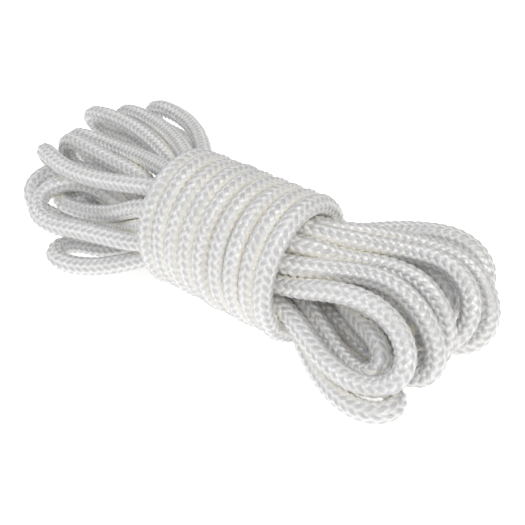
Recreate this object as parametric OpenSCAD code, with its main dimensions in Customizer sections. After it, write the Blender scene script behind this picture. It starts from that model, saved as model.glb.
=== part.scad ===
// A dock line made up for stowing. One length of braided rope runs back and forth in turns that end
// in bights, and frapping turns of the same rope bind the turns round their middle.
// X runs along the hank, Y across it and Z up. The hank rests on Z = 0.

/* [Rope] */
// Diameter of the line
rope_d = 10; // [6:0.5:14]
// Share of the diameter that the braided core takes
core_share = 0.6; // [0.5:0.05:0.7]
// Share of the diameter that is left where the line is pulled tight in a frapping turn
tight_share = 0.92; // [0.9:0.02:1]

/* [Ends] */
// Rings of a tail that its whipping covers
whipping_steps = 2; // [1:1:3]
// Thickness of the twine layer in a whipping
twine_d = 0.9; // [0.6:0.1:1.2]
// Length of the heat-sealed tip of each end
seal_len = 3; // [2:0.5:5]

/* [Fineness] */
// Sides of the line's cross-section
sides = 8; // [8:1:10]
// Rings round the bend of a bight
bend_rings = 6; // [6:1:8]
// Rings along a leg, from the frapping turns to the bend
leg_rings = 4; // [4:1:6]
// Rings in one frapping turn
frapping_rings = 14; // [12:1:16]

/* [Hidden] */

hank_turns = 10;
frapping_turns = 9;
outer_places = 13;
inner_places = 6;
x_axis = [1, 0, 0];

// How much wider than straight the legs fan out as they leave the frapping turns
flare = 1.6;

// The lists of points below are written for a 10 mm line and scale with it
unit = rope_d / 10;
tight_d = rope_d * tight_share;
half_len = frapping_turns * tight_d / 2;
outer_ring_r = rope_d / 2 / sin(180 / outer_places);
inner_ring_r = outer_ring_r / 2;
frapping_r = outer_ring_r + rope_d / 2 + tight_d / 2;
axis_z = frapping_r + tight_d / 2;

// The bore of the cover clears the corners of the many-sided core
core_play = 0.05;
bore_share = core_share / cos(180 / sides) + 2 * core_play / rope_d;

// The frapping turns start low on the far side, and are level with the middle at the near side
first_angle = -35;
near_side = (180 + first_angle) / 360;

// Places of the legs in the bound middle: 0 to 12 go round the outer ring from the top, 13 to 18
// round the inner ring, and 19 is the middle. The legs come in the order that the line takes.
LEG_PLACES = [15, 3, 4, 16, 14, 2, 17, 5, 6, 1, 7, 19, 0, 8, 13, 18, 12, 9, 11, 10];

// Three points of each bight: where its bend starts, its far point, and where its bend ends
LEFT_BIGHTS = [
    [[-133, 8, 28], [-149, -16, 21], [-124, -16, 9]],
    [[-96, -36, 23], [-124, -28, 26], [-105, -8, 36]],
    [[-112, 4, 22], [-127, -12, 25], [-110, -19, 24]],
    [[-92, -24, 6], [-104, -36, 6], [-90, -43, 6]],
    [[-128, 4, 9], [-149, 0, 28], [-129, -13, 42]],
    [[-130, 14, 9], [-150, 11, 28], [-130, 6, 43]],
    [[-142, 20, 40], [-160, 26, 26], [-150, 34, 12]],
    [[-145, 40, 46], [-166, 45, 36], [-156, 53, 26]],
    [[-135, 54, 45], [-156, 60, 32], [-146, 64, 20]],
    [[-128, 74, 43], [-149, 80, 32], [-140, 85, 21]],
];
RIGHT_BIGHTS = [
    [[76, -10, 42], [102, -15, 24], [84, -28, 12]],
    [[78, -17, 10], [92, -14, 17], [76, -4, 26]],
    [[78, 6, 43], [106, 1, 21], [92, -6, 6]],
    [[90, -34, 7], [104, -25, 7], [92, -13, 5]],
    [[78, 20, 44], [104, 16, 23], [90, 7, 8]],
    [[90, 20, 8], [106, 32, 26], [82, 36, 43]],
    [[78, 30, 11], [94, 34, 21], [74, 40, 30]],
    [[98, 31, 6], [111, 42, 23], [84, 47, 40]],
    [[80, 48, 6], [99, 60, 24], [76, 58, 42]],
];
STANDING_TIP = [90, 5, 21];
WORKING_TIP = [-88, 38, 7];

function unit_vector(v) = v / norm(v);

// A smooth curve in n steps from a to b that leaves along da and arrives along db
function curve(a, da, b, db, n) = [
    for (i = [0:n])
        let (t = i / n)
        (2 * t^3 - 3 * t^2 + 1) * a + (t^3 - 2 * t^2 + t) * da
            + (3 * t^2 - 2 * t^3) * b + (t^3 - t^2) * db
];

// The point where a leg comes out of the frapping turns, at +X for side 1 and at -X for side -1
function leg_end(place, side) =
    let (
        r = place < outer_places ? outer_ring_r : place < outer_places + inner_places ? inner_ring_r : 0,
        angle = place < outer_places ? 90 + 360 / outer_places * place
            : 30 + 360 / inner_places * (place - outer_places)
    )
    [side * half_len, r * cos(angle), axis_z + r * sin(angle)];

// The way that a leg leaves the frapping turns when it goes to the given point
function exit_way(exit, point) =
    let (v = point - exit)
    unit_vector([v[0], flare * v[1], flare * v[2]]);

// A bight: out along one leg, round half an ellipse, and back along the next leg
function bight(from, to, points) =
    let (
        start = points[0] * unit,
        stop = points[2] * unit,
        middle = (start + stop) / 2,
        across = (start - stop) / 2,
        out = points[1] * unit - middle,
        way = unit_vector(out),
        leg = norm(start - from),
        next_leg = norm(stop - to)
    )
    concat(
        curve(from, exit_way(from, start) * leg, start, way * leg, leg_rings),
        [
            for (i = [1 : bend_rings - 1])
                let (a = 180 * i / bend_rings)
                middle + across * cos(a) + out * sin(a)
        ],
        curve(stop, -way * next_leg, to, -exit_way(to, stop) * next_leg, leg_rings)
    );

// The frapping turns, counted in turns from their start, and the way that the line runs in them
function frapping_point(t) =
    let (a = first_angle - 360 * t)
    [
        half_len - tight_d / 2 + (near_side - t) * tight_d,
        frapping_r * cos(a),
        axis_z + frapping_r * sin(a)
    ];
function frapping_way(t) =
    let (a = first_angle - 360 * t)
    unit_vector([-tight_d / (2 * PI), frapping_r * sin(a), -frapping_r * cos(a)]);

// Where a leg crosses the middle of the hank
function mid_leg(i) = leg_end(LEG_PLACES[i], 0);

function standing_path() =
    let (tip = STANDING_TIP * unit, exit = leg_end(LEG_PLACES[0], 1), reach = norm(tip - exit))
    concat(curve(tip, -x_axis * reach, exit, -x_axis * reach, 2 * leg_rings), [mid_leg(0)]);

// One turn of the hank, from mid-leg to mid-leg. The last one leads into the frapping turns.
function turn_path(i) =
    let (
        left = bight(
            leg_end(LEG_PLACES[2 * i], -1), leg_end(LEG_PLACES[2 * i + 1], -1), LEFT_BIGHTS[i]
        ),
        exit = leg_end(LEG_PLACES[2 * i + 1], 1)
    )
    i < hank_turns - 1
        ? concat(
            [mid_leg(2 * i)],
            left,
            bight(exit, leg_end(LEG_PLACES[2 * i + 2], 1), RIGHT_BIGHTS[i]),
            [mid_leg(2 * i + 2)]
        )
        : concat([mid_leg(2 * i)], left, feed_path(exit));

function feed_path(exit) =
    let (stop = frapping_point(0), reach = 2.2 * norm(stop - exit))
    curve(exit, x_axis * reach, stop, frapping_way(0) * reach, 2 * leg_rings);

function frapping_path(i) = [
    for (k = [0:frapping_rings])
        frapping_point(i + k / frapping_rings)
];

function working_path() =
    let (start = frapping_point(frapping_turns), tip = WORKING_TIP * unit, reach = norm(tip - start))
    curve(start, frapping_way(frapping_turns) * reach / 2, tip, -x_axis * reach, 2 * leg_rings);

// The way of the line at each point of a path, with the first and last ways given
function ways(path, first_way, last_way) = [
    for (i = [0 : len(path) - 1])
        i == 0 ? first_way
            : i == len(path) - 1 ? last_way
            : unit_vector(unit_vector(path[i + 1] - path[i]) + unit_vector(path[i] - path[i - 1]))
];

// A stretch of line: its points, the way it runs at each, and its diameter at each
function stretch(path, first_way, last_way, first_d = rope_d, last_d = rope_d) = [
    path,
    ways(path, first_way, last_way),
    [
        for (i = [0 : len(path) - 1])
            last_d + (first_d - last_d) * max(0, min(1, (len(path) - 1 - i) / (2 * leg_rings)))
    ]
];
function standing_stretch() = stretch(standing_path(), -x_axis, -x_axis);
function turn_stretch(i) =
    i < hank_turns - 1
        ? stretch(turn_path(i), -x_axis, -x_axis)
        : stretch(turn_path(i), -x_axis, frapping_way(0), rope_d, tight_d);
function frapping_stretch(i) =
    stretch(frapping_path(i), frapping_way(i), frapping_way(i + 1), tight_d, tight_d);
function working_stretch() =
    stretch(working_path(), frapping_way(frapping_turns), -x_axis, tight_d, rope_d);

// Several stretches as one, without the doubled points where they meet
function joined(stretches) = [
    for (k = [0:2])
        [for (i = [0 : len(stretches) - 1], j = [0 : len(stretches[i][k]) - 1])
            if (i == 0 || j > 0) stretches[i][k][j]]
];
function part_of(s, first, count) = [
    for (list = s)
        [for (i = [first : first + count]) list[i]]
];

// A direction square to each way, carried along the line so that its sides don't twist
function square_to(v, way) = unit_vector(v - (v * way) * way);
function side_ways(w) = [
    for (
        i = 0, s = square_to([0.3, 0.5, 0.8], w[0]);
        i < len(w);
        i = i + 1, s = i < len(w) ? square_to(s, w[i]) : s
    ) s
];

function ring(centre, way, side_way, r) =
    let (up_way = cross(way, side_way))
    [
        for (i = [0 : sides - 1])
            let (a = 360 * i / sides)
            centre + r * cos(a) * side_way + r * sin(a) * up_way
    ];
function skin(s, share) =
    let (side_way = side_ways(s[1]))
    [for (i = [0 : len(s[0]) - 1]) each ring(s[0][i], s[1][i], side_way[i], s[2][i] / 2 * share)];

// Faces of a skin of n rings whose points are numbered from first
function skin_faces(first, n) = [
    for (k = [0 : n - 2], i = [0 : sides - 1])
        let (a = first + k * sides, b = a + sides, j = (i + 1) % sides)
        each [[a + i, b + i, b + j], [a + i, b + j, a + j]]
];
function reversed(faces) = [for (f = faces) [for (i = [len(f) - 1 : -1 : 0]) f[i]]];
function annulus(outer, inner) = [
    for (i = [0 : sides - 1])
        let (j = (i + 1) % sides)
        [outer + i, outer + j, inner + j, inner + i]
];

// A closed rod along a stretch
module rod(s, share) {
    n = len(s[0]);
    ends = [[for (i = [0 : sides - 1]) i], [for (i = [sides - 1 : -1 : 0]) (n - 1) * sides + i]];
    polyhedron(skin(s, share), concat(skin_faces(0, n), ends));
}

// A hollow tube along a stretch
module tube(s, share, bore) {
    n = len(s[0]);
    m = n * sides;
    far = (n - 1) * sides;
    polyhedron(
        concat(skin(s, share), skin(s, bore)),
        concat(
            skin_faces(0, n),
            reversed(skin_faces(m, n)),
            annulus(0, m),
            reversed(annulus(far, m + far))
        )
    );
}

// The whole line in order, and the shift that puts the origin in the middle of the hank's underside
function whole_line() = joined([
    standing_stretch(),
    for (i = [0 : hank_turns - 1]) turn_stretch(i),
    for (i = [0 : frapping_turns - 1]) frapping_stretch(i),
    working_stretch(),
]);
line_skin = skin(whole_line(), 1);
low = [for (k = [0:2]) min([for (p = line_skin) p[k]])];
high = [for (k = [0:2]) max([for (p = line_skin) p[k]])];
home = [-(low[0] + high[0]) / 2, -(low[1] + high[1]) / 2, -low[2]];

module cover(s) {
    color("white") translate(home) tube(s, 1, bore_share);
}

module standing_end() {
    cover(standing_stretch());
}

module hank_turn(i) {
    cover(turn_stretch(i));
}

module frapping_turn(i) {
    cover(frapping_stretch(i));
}

module working_end() {
    cover(working_stretch());
}

module core() {
    color("ivory") translate(home) rod(whole_line(), core_share);
}

// Twine bound round a tail, over count steps of its path
module whipping(s, first, count) {
    color("gainsboro") translate(home) tube(part_of(s, first, count), 1 + 2 * twine_d / rope_d, 1);
}

module standing_end_whipping() {
    whipping(standing_stretch(), 1, whipping_steps);
}

module working_end_whipping() {
    whipping(working_stretch(), 2 * leg_rings - 1 - whipping_steps, whipping_steps);
}

// The melted tip that closes the cover and the core, pointing along way
module seal(tip, way) {
    color("antiquewhite")
        translate(home)
            rod([[for (t = [0, 0.6, 1]) tip + t * seal_len * way], [way, way, way], [1, 0.98, 0.7] * rope_d], 1);
}

module standing_end_seal() {
    seal(STANDING_TIP * unit, x_axis);
}

module working_end_seal() {
    seal(WORKING_TIP * unit, -x_axis);
}

standing_end();
hank_turn(0);  // hank_turn_01
hank_turn(1);  // hank_turn_02
hank_turn(2);  // hank_turn_03
hank_turn(3);  // hank_turn_04
hank_turn(4);  // hank_turn_05
hank_turn(5);  // hank_turn_06
hank_turn(6);  // hank_turn_07
hank_turn(7);  // hank_turn_08
hank_turn(8);  // hank_turn_09
hank_turn(9);  // hank_turn_10
frapping_turn(0);  // frapping_turn_01
frapping_turn(1);  // frapping_turn_02
frapping_turn(2);  // frapping_turn_03
frapping_turn(3);  // frapping_turn_04
frapping_turn(4);  // frapping_turn_05
frapping_turn(5);  // frapping_turn_06
frapping_turn(6);  // frapping_turn_07
frapping_turn(7);  // frapping_turn_08
frapping_turn(8);  // frapping_turn_09
working_end();
core();
standing_end_whipping();
working_end_whipping();
standing_end_seal();
working_end_seal();
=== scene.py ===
# The look of the coiled dock line. The route of the line is worked out again here from the same
# points as the CAD, its bights are eased apart until the turns lie against each other, and the
# braid is then built as real geometry along it, one piece for each CAD stretch of cover.
import math

import bpy
import numpy as np
from mathutils import Matrix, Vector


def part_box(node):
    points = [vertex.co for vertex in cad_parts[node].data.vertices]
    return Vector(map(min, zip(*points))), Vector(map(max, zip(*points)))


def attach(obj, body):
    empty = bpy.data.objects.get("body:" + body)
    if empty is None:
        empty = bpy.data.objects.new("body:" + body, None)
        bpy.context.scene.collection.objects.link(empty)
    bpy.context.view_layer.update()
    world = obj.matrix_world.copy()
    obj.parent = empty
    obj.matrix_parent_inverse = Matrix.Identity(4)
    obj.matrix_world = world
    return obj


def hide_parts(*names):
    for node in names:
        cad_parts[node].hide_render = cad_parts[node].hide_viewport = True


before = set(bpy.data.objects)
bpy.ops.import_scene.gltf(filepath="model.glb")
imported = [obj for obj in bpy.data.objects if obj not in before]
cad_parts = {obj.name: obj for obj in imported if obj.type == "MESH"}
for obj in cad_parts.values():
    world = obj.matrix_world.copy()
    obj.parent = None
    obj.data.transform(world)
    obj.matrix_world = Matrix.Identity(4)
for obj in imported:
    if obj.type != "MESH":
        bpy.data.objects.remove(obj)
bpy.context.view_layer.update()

MM = 0.001
ROPE_D = 10.0
CORE_D = 6.0
BORE_D = 6.5
TIGHT_D = 9.2
HANK_TURNS = 10
FRAPPING_TURNS = 9
OUTER_PLACES = 13
INNER_PLACES = 6
FLARE = 1.6
FIRST_ANGLE = math.radians(-35)
NEAR_SIDE = (180 - 35) / 360
HALF_LEN = FRAPPING_TURNS * TIGHT_D / 2
OUTER_RING_R = ROPE_D / 2 / math.sin(math.pi / OUTER_PLACES)
FRAPPING_R = OUTER_RING_R + ROPE_D / 2 + TIGHT_D / 2
AXIS_Z = FRAPPING_R + TIGHT_D / 2
X_AXIS = np.array([1.0, 0.0, 0.0])

# The CAD's own points of the route, in millimetres: three for each bight, and the two tips
LEG_PLACES = [15, 3, 4, 16, 14, 2, 17, 5, 6, 1, 7, 19, 0, 8, 13, 18, 12, 9, 11, 10]
LEFT_BIGHTS = [
    [[-133, 8, 28], [-149, -16, 21], [-124, -16, 9]],
    [[-96, -36, 23], [-124, -28, 26], [-105, -8, 36]],
    [[-112, 4, 22], [-127, -12, 25], [-110, -19, 24]],
    [[-92, -24, 6], [-104, -36, 6], [-90, -43, 6]],
    [[-128, 4, 9], [-149, 0, 28], [-129, -13, 42]],
    [[-130, 14, 9], [-150, 11, 28], [-130, 6, 43]],
    [[-142, 20, 40], [-160, 26, 26], [-150, 34, 12]],
    [[-145, 40, 46], [-166, 45, 36], [-156, 53, 26]],
    [[-135, 54, 45], [-156, 60, 32], [-146, 64, 20]],
    [[-128, 74, 43], [-149, 80, 32], [-140, 85, 21]],
]
RIGHT_BIGHTS = [
    [[76, -10, 42], [102, -15, 24], [84, -28, 12]],
    [[78, -17, 10], [92, -14, 17], [76, -4, 26]],
    [[78, 6, 43], [106, 1, 21], [92, -6, 6]],
    [[90, -34, 7], [104, -25, 7], [92, -13, 5]],
    [[78, 20, 44], [104, 16, 23], [90, 7, 8]],
    [[90, 20, 8], [106, 32, 26], [82, 36, 43]],
    [[78, 30, 11], [94, 34, 21], [74, 40, 30]],
    [[98, 31, 6], [111, 42, 23], [84, 47, 40]],
    [[80, 48, 6], [99, 60, 24], [76, 58, 42]],
]
STANDING_TIP = np.array([90.0, 5.0, 21.0])
WORKING_TIP = np.array([-88.0, 38.0, 7.0])
SEAL_LEN = 3.0
TWINE_D = 0.9
# Each whipping lies between these distances from its tip
WHIPPING_FROM = 6.0
WHIPPING_TO = 16.0

# The CAD puts its origin under the middle of the hank. The seal tells how far it moved the points.
_low, _high = (np.array(c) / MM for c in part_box("standing_end_seal"))
HOME = np.array([_low[0], (_low[1] + _high[1]) / 2, (_low[2] + _high[2]) / 2]) - STANDING_TIP


def to_metres(points):
    return (np.asarray(points) + HOME) * MM


# ---------------------------------------------------------------- camera
AZIMUTH = math.radians(40)
ELEVATION = math.radians(34)
DISTANCE = 413.0
# The focal length as a multiple of the picture's width
FOCAL_WIDTHS = 34 / 21
SENSOR_WIDTH = 36
BACK = np.array([
    math.sin(AZIMUTH) * math.cos(ELEVATION),
    -math.cos(AZIMUTH) * math.cos(ELEVATION),
    math.sin(ELEVATION),
])
RIGHT = np.array([math.cos(AZIMUTH), math.sin(AZIMUTH), 0.0])
UP = np.cross(BACK, RIGHT)
# The camera looks at a point a little to the right of the waist's middle and below it
TARGET_RIGHT = 8.2
TARGET_DOWN = 10.0
TARGET = np.array([0, 0, AXIS_Z]) + TARGET_RIGHT * RIGHT - TARGET_DOWN * UP

camera_data = bpy.data.cameras.new("camera")
camera_data.sensor_width = SENSOR_WIDTH
camera_data.lens = SENSOR_WIDTH * FOCAL_WIDTHS
camera_data.clip_start = 0.01
camera_data.clip_end = 20
camera = bpy.data.objects.new("camera", camera_data)
bpy.context.collection.objects.link(camera)
place = to_metres(TARGET + DISTANCE * BACK)
camera.matrix_world = Matrix([
    [RIGHT[0], UP[0], BACK[0], place[0]],
    [RIGHT[1], UP[1], BACK[1], place[1]],
    [RIGHT[2], UP[2], BACK[2], place[2]],
    [0, 0, 0, 1],
])
bpy.context.scene.camera = camera


# ---------------------------------------------------------------- the route of the line
# Into how many steps each kind of curve is divided
LEG_STEPS = 32
TIP_STEPS = 24
TAIL_STEPS = 40
FEED_STEPS = 48
TURN_STEPS = 64
# How far the curve from the last leg to the first frapping turn swings out
FEED_PULL = 2.2


def unit(v):
    v = np.asarray(v, float)
    return v / np.linalg.norm(v, axis=-1, keepdims=True)


def hermite(a, da, b, db, n):
    t = np.linspace(0, 1, n + 1)[:, None]
    return (
        (2 * t**3 - 3 * t**2 + 1) * a
        + (t**3 - 2 * t**2 + t) * da
        + (3 * t**2 - 2 * t**3) * b
        + (t**3 - t**2) * db
    )


def leg_end(spot, side):
    if spot < OUTER_PLACES:
        r, angle = OUTER_RING_R, 90 + 360 / OUTER_PLACES * spot
    elif spot < OUTER_PLACES + INNER_PLACES:
        r, angle = OUTER_RING_R / 2, 30 + 360 / INNER_PLACES * (spot - OUTER_PLACES)
    else:
        r, angle = 0, 0
    angle = math.radians(angle)
    return np.array([side * HALF_LEN, r * math.cos(angle), AXIS_Z + r * math.sin(angle)])


def exit_way(end, point):
    v = point - end
    return unit([v[0], FLARE * v[1], FLARE * v[2]])


def bight(begin, end, points):
    start, far, stop = (np.array(p, float) for p in points)
    middle = (start + stop) / 2
    across = (start - stop) / 2
    out = far - middle
    way = unit(out)
    leg = np.linalg.norm(start - begin)
    next_leg = np.linalg.norm(stop - end)
    a = np.linspace(0, np.pi, TIP_STEPS + 1)[1:-1, None]
    return np.concatenate([
        hermite(begin, exit_way(begin, start) * leg, start, way * leg, LEG_STEPS),
        middle + across * np.cos(a) + out * np.sin(a),
        hermite(stop, -way * next_leg, end, -exit_way(end, stop) * next_leg, LEG_STEPS),
    ])


def frapping_point(t):
    t = np.asarray(t, float)
    a = FIRST_ANGLE - 2 * np.pi * t
    # Each turn lies a little differently from the next
    sway = 0.35 * np.sin(5.1 * t + 1.0) + 0.25 * np.sin(13.7 * t)
    swell = 0.3 * np.sin(3.3 * t + 0.4) + 0.2 * np.sin(17.3 * t + 2.0)
    return np.stack([
        HALF_LEN - TIGHT_D / 2 + (NEAR_SIDE - t) * TIGHT_D + sway,
        (FRAPPING_R + swell) * np.cos(a),
        AXIS_Z + (FRAPPING_R + swell) * np.sin(a),
    ], axis=-1)


def frapping_way(t):
    a = FIRST_ANGLE - 2 * np.pi * t
    return unit([-TIGHT_D / (2 * np.pi), FRAPPING_R * math.sin(a), -FRAPPING_R * math.cos(a)])


def raw_stretches():
    """The name of each stretch of cover and its points, in the order of the line."""
    exit_ = leg_end(LEG_PLACES[0], 1)
    reach = np.linalg.norm(STANDING_TIP - exit_)
    tail = hermite(STANDING_TIP, -X_AXIS * reach, exit_, -X_AXIS * reach, TAIL_STEPS)
    made = [("standing_end", np.concatenate([tail, [leg_end(LEG_PLACES[0], 0)]]))]
    for i in range(HANK_TURNS):
        first, second = LEG_PLACES[2 * i], LEG_PLACES[2 * i + 1]
        left = bight(leg_end(first, -1), leg_end(second, -1), LEFT_BIGHTS[i])
        exit_ = leg_end(second, 1)
        if i < HANK_TURNS - 1:
            third = LEG_PLACES[2 * i + 2]
            right = bight(exit_, leg_end(third, 1), RIGHT_BIGHTS[i])
            points = [[leg_end(first, 0)], left, right, [leg_end(third, 0)]]
        else:
            stop = frapping_point(0)
            reach = FEED_PULL * np.linalg.norm(stop - exit_)
            feed = hermite(exit_, X_AXIS * reach, stop, frapping_way(0) * reach, FEED_STEPS)
            points = [[leg_end(first, 0)], left, feed]
        made.append((f"hank_turn_{i + 1:02d}", np.concatenate(points)))
    for i in range(FRAPPING_TURNS):
        points = frapping_point(np.linspace(i, i + 1, TURN_STEPS + 1))
        made.append((f"frapping_turn_{i + 1:02d}", points))
    start = frapping_point(FRAPPING_TURNS)
    reach = np.linalg.norm(WORKING_TIP - start)
    way = frapping_way(FRAPPING_TURNS)
    tail = hermite(start, way * reach / 2, WORKING_TIP, -X_AXIS * reach, TAIL_STEPS)
    made.append(("working_end", tail))
    return made


def arc(points):
    steps = np.linalg.norm(np.diff(points, axis=0), axis=1)
    return np.concatenate([[0], np.cumsum(steps)])


def evenly(points, step):
    s = arc(points)
    n = max(2, round(s[-1] / step))
    even = np.linspace(0, s[-1], n + 1)
    return np.stack([np.interp(even, s, points[:, k]) for k in range(3)], axis=-1)


NODE_STEP = 3.4
names = []
node_starts = [0]
centre = []
for stretch_name, stretch_points in raw_stretches():
    even = evenly(stretch_points, NODE_STEP)
    names.append(stretch_name)
    centre.append(even if not centre else even[1:])
    node_starts.append(node_starts[-1] + len(even) - 1)
centre = np.concatenate(centre)

# The line is pulled tight in the frapping turns, and fills out again along the tails of them. Drawn
# turns are a little thicker than their pitch, so that they press into each other
DRAWN_TIGHT_D = TIGHT_D + 0.7
TIGHTENING_NODES = 22
first_frapping = node_starts[names.index("frapping_turn_01")]
last_frapping = node_starts[names.index("working_end")]
nodes_in = np.arange(len(centre))
tightness = np.interp(
    nodes_in,
    [first_frapping - TIGHTENING_NODES, first_frapping, last_frapping, len(centre) - 1],
    [0, 1, 1, 0],
)
node_d = ROPE_D + (DRAWN_TIGHT_D - ROPE_D) * tightness


def close_pairs(points, reach, skip):
    """Pairs of nodes nearer than reach, apart from neighbours along the line."""
    found_i, found_j = [], []
    squares = (points**2).sum(1)
    for first in range(0, len(points), 256):
        block = points[first : first + 256]
        d2 = squares[first : first + 256, None] + squares[None] - 2 * block @ points.T
        i, j = np.nonzero(d2 < reach**2)
        i = i + first
        keep = j - i > skip
        found_i.append(i[keep])
        found_j.append(j[keep])
    return np.concatenate(found_i), np.concatenate(found_j)


def smooth(points, share, passes):
    """Moves each point towards the middle of its neighbours, in place and by its own share."""
    for _ in range(passes):
        bend = points[:-2] - 2 * points[1:-1] + points[2:]
        points[1:-1] += 0.25 * share[1:-1, None] * bend


# Turns that touch are squeezed to this share of their thickness, and each step takes away a part of
# what is still lacking. The pairs are looked up again every few steps, with some room to spare
SQUEEZE = 0.955
STEP_SHARE = 0.55
SETTLING_STEPS = 260
LOOK_AGAIN = 8
LOOK_REACH = ROPE_D + 3
SKIPPED_NODES = 5


def settled(points, diameters, free):
    """Eases the free nodes apart until the line no longer lies in itself, and stays smooth."""
    points = points.copy()
    rest = points.copy()
    everywhere = np.ones(len(points))
    for step in range(SETTLING_STEPS):
        if step % LOOK_AGAIN == 0:
            i, j = close_pairs(points, LOOK_REACH, SKIPPED_NODES)
            moving = (free[i] + free[j]) > 0
            i, j = i[moving], j[moving]
            share_i = free[i] / (free[i] + free[j])
            wanted = SQUEEZE * (diameters[i] + diameters[j]) / 2
        gap = points[j] - points[i]
        dist = np.linalg.norm(gap, axis=1)
        lack = wanted - dist
        hit = lack > 0
        push = gap[hit] / dist[hit, None] * lack[hit, None] * STEP_SHARE
        move = np.zeros_like(points)
        np.add.at(move, i[hit], -push * share_i[hit, None])
        np.add.at(move, j[hit], push * (1 - share_i[hit, None]))
        points += move
        shift = points - rest
        smooth(shift, everywhere, 2)
        shift *= free[:, None]
        points = rest + shift
        points[:, 2] = np.maximum(points[:, 2], diameters / 2)
    return points


# The line bends gently where it leaves the waist
EXIT_REACH = 6
at_exit = np.clip(2 - np.abs(np.abs(centre[:, 0]) - HALF_LEN) / EXIT_REACH, 0, 1)
at_exit *= (nodes_in < first_frapping + 1) | (nodes_in > last_frapping - 3)
smooth(centre, at_exit, 14)

# The legs inside the waist and the frapping turns stay put, and the line is freer the further it is
# from them: wholly free this many millimetres from the waist, and this many nodes from the turns
FREE_FROM_WAIST = 10
FREE_FROM_TURNS = 4
from_waist = (np.abs(centre[:, 0]) - HALF_LEN + 1) / FREE_FROM_WAIST
from_turns = np.maximum(first_frapping - nodes_in, nodes_in - last_frapping) / FREE_FROM_TURNS
free_nodes = np.clip(np.minimum(from_waist, from_turns), 0, 1)
centre = settled(centre, node_d, free_nodes)
smooth(centre, free_nodes, 3)


# ---------------------------------------------------------------- the line, finely divided
# The skin's points lie on a lattice turned against the line, with CELL steps to each strand's width
WALES = 8
CELL = 8
PITCH = math.pi * ROPE_D / WALES
ROW = PITCH / CELL
AROUND = 4 * WALES
# Any direction that the line never follows, from which the ones square to it are made
ANY_SIDE = np.array([0.3, 0.5, 0.8])


def smooth_path(points, s_nodes, s):
    """Positions and ways at the distances s along the smooth curve through points."""
    slope = np.gradient(points, s_nodes, axis=0)
    k = np.clip(np.searchsorted(s_nodes, s, side="right") - 1, 0, len(s_nodes) - 2)
    h = (s_nodes[k + 1] - s_nodes[k])[:, None]
    t = ((s - s_nodes[k])[:, None]) / h
    a, b, da, db = points[k], points[k + 1], slope[k] * h, slope[k + 1] * h
    place_ = (
        (2 * t**3 - 3 * t**2 + 1) * a
        + (t**3 - 2 * t**2 + t) * da
        + (3 * t**2 - 2 * t**3) * b
        + (t**3 - t**2) * db
    )
    way_ = (
        (6 * t**2 - 6 * t) * a
        + (3 * t**2 - 4 * t + 1) * da
        + (6 * t - 6 * t**2) * b
        + (3 * t**2 - 2 * t) * db
    )
    return place_, unit(way_)


def side_ways(way_):
    """A direction square to the line at each place, carried along it without twisting."""
    sides = np.empty_like(way_)
    s = ANY_SIDE
    for k in range(len(way_)):
        s = s - s.dot(way_[k]) * way_[k]
        s = s / math.sqrt(s.dot(s))
        sides[k] = s
    return sides


node_s = arc(centre)
total = node_s[-1]
row_count = int(round(total / ROW))
row_s = np.linspace(0, total, row_count + 1)
row_place, row_way = smooth_path(centre, node_s, row_s)
row_side = side_ways(row_way)
row_up = np.cross(row_way, row_side)
row_d = np.interp(row_s, node_s, node_d)
# The braid turns slowly about the line
row_turn = 0.5 * np.sin(row_s / 170) + 0.9 * np.sin(row_s / 610 + 1)
row_starts = [int(round(node_s[k] / total * row_count)) for k in node_starts]

# ---------------------------------------------------------------- the braid
# The floats differ a little in height and in tone, and so do the strands in tone
FLOAT_KINDS = 4096
rng = np.random.default_rng(5)
FLOAT_LIFT = rng.normal(0, 0.02, FLOAT_KINDS)
FLOAT_TONE = rng.uniform(0, 1, FLOAT_KINDS)
STRAND_TONE = rng.uniform(0, 1, 64)
# How far a strand rises and dips along its way, and how far its middle stands above its edges
WAVE = 0.80
CROWN = 0.32
# The skin is rounded off over this much of a strand's width
ROUNDING = 0.02


def float_of(a, b):
    """Which strand is on top where strands a and b cross, and which of its floats."""
    i = np.floor(a).astype(int)
    j = np.floor(b).astype(int)
    leans = (i - j) % 4 < 2
    along = np.where(leans, b - i, a - j - 3)
    strand = np.where(leans, i, j + WALES)
    number = np.floor((along + 1) / 4).astype(int)
    return strand, (number * 37 + strand * 101) % FLOAT_KINDS


def height(a, b):
    """How far the braid's skin lies above its deepest point, where strands a and b cross."""
    i = np.floor(a)
    j = np.floor(b)
    across_a = 2 * (a - i) - 1
    across_b = 2 * (b - j) - 1
    crown_a = 1 - np.abs(across_a) ** 3
    crown_b = 1 - np.abs(across_b) ** 3
    ha = WAVE * np.cos(np.pi / 2 * (b - i)) + CROWN * crown_a
    hb = WAVE * np.cos(np.pi / 2 * (a - j - 3)) + CROWN * crown_b
    return np.maximum(ha, hb) + FLOAT_LIFT[float_of(a, b)[1]]


def braid_rows(first, last):
    """Points of the braid's skin on the rows first to last, and how deep each lies, from 0 to 1."""
    rows = np.arange(first, last + 1)
    m = 2 * np.arange(AROUND)[None, :] + (rows % 2)[:, None]
    a = (rows[:, None] - m) / CELL
    b = (rows[:, None] + m) / CELL
    around = (-ROUNDING, ROUNDING)
    each = np.stack([height(a + p, b + q) for p in around for q in around])
    h = 0.5 * each.mean(0) + 0.5 * each.min(0)
    top = WAVE + CROWN
    scale = row_d[rows, None] / ROPE_D
    r = (ROPE_D / 2 - top + h) * scale
    angle = 2 * np.pi * m / (2 * AROUND) + row_turn[rows, None]
    points = (
        row_place[rows, None]
        + (r * np.cos(angle))[..., None] * row_side[rows, None]
        + (r * np.sin(angle))[..., None] * row_up[rows, None]
    )
    # What rests on the floor is pressed flat against it
    points[..., 2] = np.maximum(points[..., 2], -HOME[2])
    return points, np.clip((top - h) / (0.9 * top), 0, 1)


ROW_GROUP = 8
BESIDE_REACH = ROPE_D + 5
POCKET_REACH = 4.0


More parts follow.
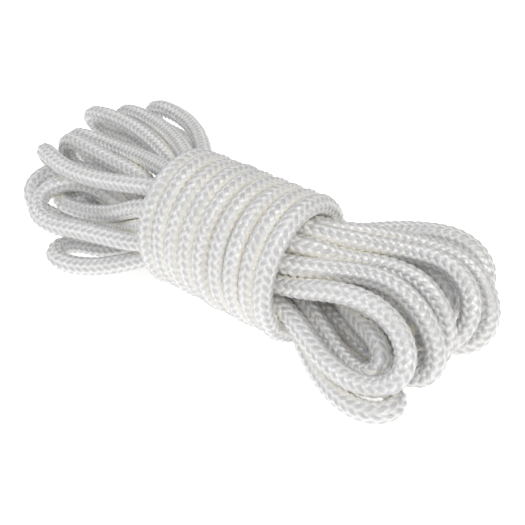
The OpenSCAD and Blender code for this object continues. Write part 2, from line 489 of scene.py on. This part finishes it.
def neighbours_of_rows():
    """For each group of rows, the nodes of other parts of the line that lie close beside it."""
    group_rows = np.arange(ROW_GROUP // 2, row_count + 1, ROW_GROUP)
    found = []
    for first in range(0, len(group_rows), 256):
        rows = group_rows[first : first + 256]
        away = np.linalg.norm(row_place[rows, None] - centre[None], axis=2)
        along_line = np.abs(row_s[rows, None] - node_s[None])
        beside = (away < BESIDE_REACH) & (along_line > 2 * ROPE_D)
        found.extend(np.nonzero(line)[0] for line in beside)
    return found


BESIDE = neighbours_of_rows()


def pocket_of(points, first):
    """How hidden each point of the skin is between touching stretches of line, from 0 to 1."""
    made = np.zeros(points.shape[:2])
    for begin in range(0, len(points), ROW_GROUP):
        group = min((first + begin) // ROW_GROUP, len(BESIDE) - 1)
        nodes_ = BESIDE[group]
        if len(nodes_) == 0:
            continue
        block = points[begin : begin + ROW_GROUP]
        away = np.linalg.norm(block[:, :, None] - centre[nodes_], axis=3) - node_d[nodes_] / 2
        made[begin : begin + ROW_GROUP] = np.clip(1 - away.min(axis=2) / POCKET_REACH, 0, 1)
    return made


def braid_faces(first, last):
    """Faces between the rows: vertex numbers and lattice places of their corners."""
    r = np.arange(first, last - 1)[:, None]
    c = np.arange(AROUND)[None, :]
    m = 2 * c + r % 2

    def vertices(corners):
        numbers = [(row - first) * AROUND + (spot // 2) % AROUND for row, spot in corners]
        return np.stack(numbers, axis=-1)

    def lattice(corners):
        places = [((row - spot) / CELL, (row + spot) / CELL) for row, spot in corners]
        return np.stack([np.stack(ab, axis=-1) for ab in places], axis=-2)

    corners = [(r, m), (r + 1, m + 1), (r + 2, m), (r + 1, m - 1)]
    quads = vertices(corners).reshape(-1, 4)
    quad_ab = lattice(corners).reshape(-1, 4, 2)
    tris, tri_ab = [], []
    for row, inner, flip in ((first, first + 1, False), (last, last - 1, True)):
        m = 2 * np.arange(AROUND) + row % 2
        ends = [(row, m), (inner, m + 1), (row, m + 2)]
        if not flip:
            ends = ends[::-1]
        tris.append(vertices(ends))
        tri_ab.append(lattice(ends))
    return quads, quad_ab, np.concatenate(tris), np.concatenate(tri_ab)


# The bore is coarser than the skin
BORE_SIDES = AROUND // 2
BORE_ROWS = 8


def new_mesh(name, points, faces):
    mesh = bpy.data.meshes.new(name)
    mesh.from_pydata(to_metres(points).tolist(), [], faces)
    mesh.shade_smooth()
    obj = bpy.data.objects.new(name, mesh)
    bpy.context.collection.objects.link(obj)
    return obj


def set_attribute(mesh, name, domain, values):
    """Stores one number for each point or face of the mesh, for its material."""
    layer = mesh.attributes.new(name, "FLOAT", domain)
    layer.data.foreach_set("value", values.astype(np.float32))


def crease(mesh, groups):
    """Marks the edges between faces of different groups as sharp."""
    edge_of = np.empty(len(mesh.loops), dtype=np.int32)
    mesh.loops.foreach_get("edge_index", edge_of)
    sizes = np.empty(len(mesh.polygons), dtype=np.int32)
    mesh.polygons.foreach_get("loop_total", sizes)
    group = np.repeat(groups, sizes)
    low = np.full(len(mesh.edges), 1 << 30)
    high = np.full(len(mesh.edges), -1)
    np.minimum.at(low, edge_of, group + 1)
    np.maximum.at(high, edge_of, group + 1)
    sharp = mesh.attributes.new("sharp_edge", "BOOLEAN", "EDGE")
    sharp.data.foreach_set("value", low != high)


def fibre_uv(ab):
    """Corner places with the first number along the fibres of the face's strand."""
    mid = ab.mean(axis=1)
    leans = (np.floor(mid[:, 0]) - np.floor(mid[:, 1])) % 4 < 2
    return np.where(leans[:, None, None], ab[..., ::-1], ab)


def cover_piece(name, first, last):
    """A closed hollow stretch of cover: the braid outside, a plain bore inside."""
    skin, depth = braid_rows(first, last)
    quads, quad_ab, tris, tri_ab = braid_faces(first, last)
    bore_rows = sorted(set(range(first, last, BORE_ROWS)) | {last})
    if bore_rows[-1] - bore_rows[-2] < 3:
        del bore_rows[-2]
    bore_rows = np.array(bore_rows)
    angle = 2 * np.pi * np.arange(BORE_SIDES) / BORE_SIDES + row_turn[bore_rows, None]
    r = BORE_D / 2 * row_d[bore_rows, None] / ROPE_D
    bore = (
        row_place[bore_rows, None]
        + (r * np.cos(angle))[..., None] * row_side[bore_rows, None]
        + (r * np.sin(angle))[..., None] * row_up[bore_rows, None]
    )
    outer_count = skin.shape[0] * AROUND
    k = np.arange(len(bore_rows) - 1)[:, None]
    c = np.arange(BORE_SIDES)[None, :]
    d = (c + 1) % BORE_SIDES
    base = outer_count + k * BORE_SIDES
    bore_quads = np.stack(
        [base + c, base + BORE_SIDES + c, base + BORE_SIDES + d, base + d], axis=-1
    ).reshape(-1, 4)
    c = np.arange(BORE_SIDES)
    d = (c + 1) % BORE_SIDES
    ends = []
    for ring, inner, flip in (
        (0, outer_count, False),
        (outer_count - AROUND, outer_count + (len(bore_rows) - 1) * BORE_SIDES, True),
    ):
        o0, o1, o2 = ring + 2 * c, ring + 2 * c + 1, ring + (2 * c + 2) % AROUND
        n0, n1 = inner + c, inner + d
        for tri in ((o0, o1, n0), (o1, n1, n0), (o1, o2, n1)):
            tri = tri if flip else tri[::-1]
            ends.append(np.stack(tri, axis=-1))
    ends = np.concatenate(ends)
    points = np.concatenate([skin.reshape(-1, 3), bore.reshape(-1, 3)])
    faces = quads.tolist() + tris.tolist() + bore_quads.tolist() + ends.tolist()
    obj = new_mesh(name, points, faces)
    mesh = obj.data
    plain = np.zeros((bore_quads.size + ends.size, 2))
    uv = np.concatenate([fibre_uv(quad_ab).reshape(-1, 2), fibre_uv(tri_ab).reshape(-1, 2), plain])
    layer = mesh.uv_layers.new(name="fibre")
    layer.data.foreach_set("uv", uv.astype(np.float32).ravel())
    # The bore and the ends count as wholly hidden, and as one float of a middling tone
    in_bore = np.ones(len(bore_rows) * BORE_SIDES)
    # depth makes the colour lighter and creamier towards the hollows: painted light
    set_attribute(mesh, "depth", "POINT", np.concatenate([depth.ravel(), in_bore]))
    # pocket makes the colour lighter and creamier where turns touch: painted light
    pocket = pocket_of(skin, first).ravel()
    set_attribute(mesh, "pocket", "POINT", np.concatenate([pocket, in_bore]))
    middles = np.concatenate([quad_ab.mean(1), tri_ab.mean(1)])
    strand, number = float_of(middles[:, 0], middles[:, 1])
    other_faces = len(bore_quads) + len(ends)
    crease(mesh, np.concatenate([number, np.full(other_faces, -1)]))
    strand_tone = STRAND_TONE[strand % WALES + np.where(strand >= WALES, WALES, 0)]
    tone = 0.6 * FLOAT_TONE[number] + 0.4 * strand_tone
    set_attribute(mesh, "tone", "FACE", np.concatenate([tone, np.full(other_faces, 0.5)]))
    return obj


def sweep(name, place_, way_, radii, sides):
    """A closed tube along a path. radii holds one radius for each place, or one for each corner."""
    side = side_ways(way_)
    up = np.cross(way_, side)
    n = len(place_)
    angle = 2 * np.pi * np.arange(sides) / sides
    radii = np.asarray(radii, float)
    radii = np.broadcast_to(radii[:, None] if radii.ndim == 1 else radii, (n, sides))
    points = (
        place_[:, None]
        + (radii * np.cos(angle))[..., None] * side[:, None]
        + (radii * np.sin(angle))[..., None] * up[:, None]
    ).reshape(-1, 3)
    k = np.arange(n - 1)[:, None] * sides
    c = np.arange(sides)[None, :]
    d = (c + 1) % sides
    quads = np.stack([k + c, k + d, k + sides + d, k + sides + c], axis=-1).reshape(-1, 4)
    first_cap = list(range(sides))[::-1]
    last_cap = list(range((n - 1) * sides, n * sides))
    return new_mesh(name, points, quads.tolist() + [first_cap, last_cap])


# ---------------------------------------------------------------- materials
def material(name):
    made = bpy.data.materials.new(name)
    made.use_nodes = True
    tree = made.node_tree
    return made, tree.nodes, tree.links, tree.nodes["Principled BSDF"]


def multiply_add(nodes, links, value, factor, addend):
    node = nodes.new("ShaderNodeMath")
    node.operation = "MULTIPLY_ADD"
    links.new(value, node.inputs[0])
    node.inputs[1].default_value = factor
    node.inputs[2].default_value = addend
    return node.outputs[0]


def ramp(nodes, links, value, stops):
    node = nodes.new("ShaderNodeValToRGB")
    node.color_ramp.elements[0].position = stops[0][0]
    node.color_ramp.elements[0].color = (*stops[0][1], 1)
    node.color_ramp.elements[1].position = stops[-1][0]
    node.color_ramp.elements[1].color = (*stops[-1][1], 1)
    for position, colour in stops[1:-1]:
        node.color_ramp.elements.new(position).color = (*colour, 1)
    links.new(value, node.inputs["Fac"])
    return node.outputs["Color"]


def mixed(nodes, links, kind, factor, a, b):
    node = nodes.new("ShaderNodeMix")
    node.data_type = "RGBA"
    node.blend_type = kind
    for socket, value in (("Factor", factor), ("A", a), ("B", b)):
        target = next(s for s in node.inputs if s.name == socket and s.enabled)
        if isinstance(value, (int, float)):
            target.default_value = value
        elif isinstance(value, tuple):
            target.default_value = (*value, 1)
        else:
            links.new(value, target)
    return next(s for s in node.outputs if s.enabled)


def attribute(nodes, name):
    node = nodes.new("ShaderNodeAttribute")
    node.attribute_name = name
    return node.outputs["Fac"]


# The share of mirror-like reflection of the filaments where they lie open
SHEEN = 0.26


def cover_material():
    """Satin nylon: fine fibres along each strand, duller where turns touch, and made lighter and
    creamier in the hollows and where turns touch by painted light.
    """
    made, nodes, links, shader = material("nylon_braid")
    depth = attribute(nodes, "depth")
    tone = attribute(nodes, "tone")
    pocket = attribute(nodes, "pocket")
    # Painted light: the colour runs from grey on the crowns to a light cream in the hollows, and
    # the lighter cream stands in for light that the nylon scatters into them.
    colour = ramp(nodes, links, depth, [
        (0.0, (0.58, 0.58, 0.595)),
        (0.30, (0.67, 0.67, 0.68)),
        (0.65, (0.93, 0.92, 0.90)),
        (1.0, (0.98, 0.96, 0.91)),
    ])
    shade = ramp(nodes, links, tone, [(0.0, (0.95, 0.95, 0.945)), (1.0, (1.0, 1.0, 1.0))])
    colour = mixed(nodes, links, "MULTIPLY", 1.0, colour, shade)
    # Painted light: where turns touch, the colour is mixed towards a light cream, standing in for
    # light scattered in between them. The same mask also makes the nylon less metallic there.
    painted_light_and_dulling = ramp(nodes, links, pocket, [(0.25, (0, 0, 0)), (0.95, (1, 1, 1))])
    colour = mixed(nodes, links, "MIX", painted_light_and_dulling, colour, (0.99, 0.96, 0.87))
    links.new(colour, shader.inputs["Base Color"])
    shine = multiply_add(nodes, links, painted_light_and_dulling, -SHEEN, SHEEN)
    links.new(shine, shader.inputs["Metallic"])
    uv = nodes.new("ShaderNodeUVMap")
    uv.uv_map = "fibre"
    stretch = nodes.new("ShaderNodeMapping")
    stretch.inputs["Scale"].default_value = (0.7, 14.0, 1.0)
    links.new(uv.outputs["UV"], stretch.inputs["Vector"])
    fibres = nodes.new("ShaderNodeTexNoise")
    fibres.inputs["Scale"].default_value = 1.0
    fibres.inputs["Detail"].default_value = 3.0
    fibres.inputs["Roughness"].default_value = 0.6
    links.new(stretch.outputs["Vector"], fibres.inputs["Vector"])
    rough = multiply_add(nodes, links, fibres.outputs["Fac"], 0.10, 0.32)
    links.new(rough, shader.inputs["Roughness"])
    bump = nodes.new("ShaderNodeBump")
    bump.inputs["Strength"].default_value = 0.2
    bump.inputs["Distance"].default_value = 0.0001
    links.new(fibres.outputs["Fac"], bump.inputs["Height"])
    links.new(bump.outputs["Normal"], shader.inputs["Normal"])
    tangent = nodes.new("ShaderNodeTangent")
    tangent.direction_type = "UV_MAP"
    tangent.uv_map = "fibre"
    links.new(tangent.outputs["Tangent"], shader.inputs["Tangent"])
    shader.inputs["Anisotropic"].default_value = 0.5
    shader.inputs["Anisotropic Rotation"].default_value = 0.25
    shader.inputs["IOR"].default_value = 1.6
    shader.inputs["Subsurface Weight"].default_value = 0.5
    shader.inputs["Subsurface Radius"].default_value = (1.0, 0.9, 0.7)
    shader.inputs["Subsurface Scale"].default_value = 0.004
    return made


def plain_material(name, low, high, scale, roughness, bump_strength, bump_distance):
    """A pale surface with fine variation in colour and height."""
    made, nodes, links, shader = material(name)
    place_ = nodes.new("ShaderNodeTexCoord")
    noise = nodes.new("ShaderNodeTexNoise")
    noise.inputs["Scale"].default_value = scale
    noise.inputs["Detail"].default_value = 4.0
    links.new(place_.outputs["Object"], noise.inputs["Vector"])
    colour = ramp(nodes, links, noise.outputs["Fac"], [(0.3, low), (0.7, high)])
    links.new(colour, shader.inputs["Base Color"])
    bump = nodes.new("ShaderNodeBump")
    bump.inputs["Strength"].default_value = bump_strength
    bump.inputs["Distance"].default_value = bump_distance
    links.new(noise.outputs["Fac"], bump.inputs["Height"])
    links.new(bump.outputs["Normal"], shader.inputs["Normal"])
    shader.inputs["Roughness"].default_value = roughness
    return made


BRAID = cover_material()
CORE = plain_material(
    "core_fibre", (0.72, 0.70, 0.64), (0.85, 0.83, 0.78),
    scale=900, roughness=0.7, bump_strength=0.6, bump_distance=0.0002,
)
TWINE = plain_material(
    "waxed_twine", (0.72, 0.71, 0.68), (0.86, 0.85, 0.82),
    scale=1500, roughness=0.55, bump_strength=0.5, bump_distance=0.0001,
)
SEAL = plain_material(
    "melted_nylon", (0.70, 0.64, 0.50), (0.84, 0.81, 0.72),
    scale=500, roughness=0.28, bump_strength=0.4, bump_distance=0.0002,
)


def finished(obj, node, look):
    obj.data.materials.append(look)
    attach(obj, "root")
    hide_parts(node)
    return obj


# ---------------------------------------------------------------- the pieces
def along(first_s, last_s, n):
    return smooth_path(centre, node_s, np.linspace(first_s, last_s, n))


# The core is ribbed by its four strands, which turn a little from each step to the next
CORE_STEP = 3.9
CORE_SIDES = 12
CORE_STRANDS = 4
CORE_TWIST = 0.7
core_n = int(total / CORE_STEP)
core_place, core_way = along(0, total, core_n)
core_turn = np.arange(core_n)[:, None] * CORE_TWIST
core_angle = 2 * np.pi * np.arange(CORE_SIDES) / CORE_SIDES
core_r = (CORE_D / 2 - 0.15) * (1 + 0.05 * np.cos(CORE_STRANDS * core_angle + core_turn))
core = finished(
    sweep("core_rod", core_place, core_way, core_r, CORE_SIDES), "core", CORE
)


TWINE_STEPS = 28
TWINE_SIDES = 8
SEAL_SIDES = 24
SEAL_LUMPS = 6


def whipping(name, node, first_s, last_s):
    """Twine wound tight round a tail."""
    turns = (last_s - first_s) / TWINE_D
    n = int(turns * TWINE_STEPS)
    t = np.linspace(0, 1, n)
    place_, way_ = along(first_s, last_s, n)
    side = side_ways(way_)
    up = np.cross(way_, side)
    angle = 2 * np.pi * turns * t
    ends = np.minimum(1, np.minimum(t, 1 - t) * turns)
    r = (ROPE_D / 2 + 0.55 * TWINE_D * ends - 0.5 * (1 - ends))[:, None]
    helix = place_ + r * (np.cos(angle)[:, None] * side + np.sin(angle)[:, None] * up)
    helix_way = unit(np.gradient(helix, axis=0))
    twine = sweep(name, helix, helix_way, np.full(n, 0.52 * TWINE_D), TWINE_SIDES)
    return finished(twine, node, TWINE)


def seal(name, node, tip, way_):
    """The lumpy dome that is left where the end was melted. t runs from the cover to the tip."""
    t = np.array([-0.35, 0, 0.25, 0.5, 0.72, 0.88, 0.97, 1.0])
    r = ROPE_D / 2 * np.array([0.9, 1.0, 1.01, 0.97, 0.86, 0.68, 0.42, 0.15])
    waves = np.array([
        np.cos(k * 2 * np.pi * np.arange(SEAL_SIDES) / SEAL_SIDES + k)
        for k in range(1, SEAL_LUMPS + 1)
    ])
    lumps = rng.normal(0, 0.035, (len(t), SEAL_LUMPS)) @ waves
    dome = sweep(
        name, tip + t[:, None] * SEAL_LEN * way_, np.tile(way_, (len(t), 1)),
        r[:, None] * (1 + lumps), SEAL_SIDES,
    )
    return finished(dome, node, SEAL)


standing_whipping = whipping(
    "twine_standing", "standing_end_whipping", WHIPPING_FROM, WHIPPING_TO
)
working_whipping = whipping(
    "twine_working", "working_end_whipping", total - WHIPPING_TO, total - WHIPPING_FROM
)
standing_seal = seal("seal_standing", "standing_end_seal", centre[0], -row_way[0])
working_seal = seal("seal_working", "working_end_seal", centre[-1], row_way[-1])

# Each stretch of cover is built from its own rows of the braid, in place of its CAD part
for index, node_name in enumerate(names):
    first_row, last_row = row_starts[index], row_starts[index + 1]
    piece = finished(
        cover_piece(f"braid_{node_name}", first_row, last_row), node_name, BRAID
    )

# ---------------------------------------------------------------- floor, light and background
floor_mesh = bpy.data.meshes.new("floor")
FLOOR_R = 4
FLOOR_CORNERS = [
    (-FLOOR_R, -FLOOR_R, 0), (FLOOR_R, -FLOOR_R, 0), (FLOOR_R, FLOOR_R, 0), (-FLOOR_R, FLOOR_R, 0)
]
floor_mesh.from_pydata(FLOOR_CORNERS, [], [(0, 1, 2, 3)])
floor = bpy.data.objects.new("floor", floor_mesh)
bpy.context.collection.objects.link(floor)
floor_look, _, _, floor_shader = material("floor_white")
floor_shader.inputs["Base Color"].default_value = (0.9, 0.9, 0.9, 1)
floor_shader.inputs["Roughness"].default_value = 0.9
floor_shader.inputs["Specular IOR Level"].default_value = 0.0
floor_shader.inputs["Emission Color"].default_value = (1, 1, 1, 1)
floor_shader.inputs["Emission Strength"].default_value = 0.53
floor_mesh.materials.append(floor_look)


LIT_POINT = np.array([0, 0, 0.03])


def soft_light(name, azimuth, elevation, distance, size, power, colour=(1, 1, 1)):
    """A square softbox that faces the middle of the hank."""
    a, e = math.radians(azimuth), math.radians(elevation)
    back = np.array([math.sin(a) * math.cos(e), -math.cos(a) * math.cos(e), math.sin(e)])
    right = np.array([math.cos(a), math.sin(a), 0])
    up = np.cross(back, right)
    data = bpy.data.lights.new(name, "AREA")
    data.shape = "SQUARE"
    data.size = size
    data.energy = power
    data.color = colour
    obj = bpy.data.objects.new(name, data)
    bpy.context.collection.objects.link(obj)
    p = back * distance + LIT_POINT
    obj.matrix_world = Matrix([
        [right[0], up[0], back[0], p[0]],
        [right[1], up[1], back[1], p[1]],
        [right[2], up[2], back[2], p[2]],
        [0, 0, 0, 1],
    ])


soft_light("key", 84, 42, 1.0, 0.35, 1.6, (1.0, 0.985, 0.95))
soft_light("front", 45, 44, 1.0, 0.5, 1.3)
soft_light("fill", -38, 48, 1.0, 0.45, 1.4, (0.90, 0.945, 1.0))
soft_light("top", 230, 70, 1.0, 0.45, 0.9)

world = bpy.data.worlds.new("studio")
world.use_nodes = True
world.node_tree.nodes["Background"].inputs["Color"].default_value = (1.0, 0.99, 0.97, 1)
world.node_tree.nodes["Background"].inputs["Strength"].default_value = 0.52
bpy.context.scene.world = world
bpy.context.scene.view_settings.view_transform = "Standard"
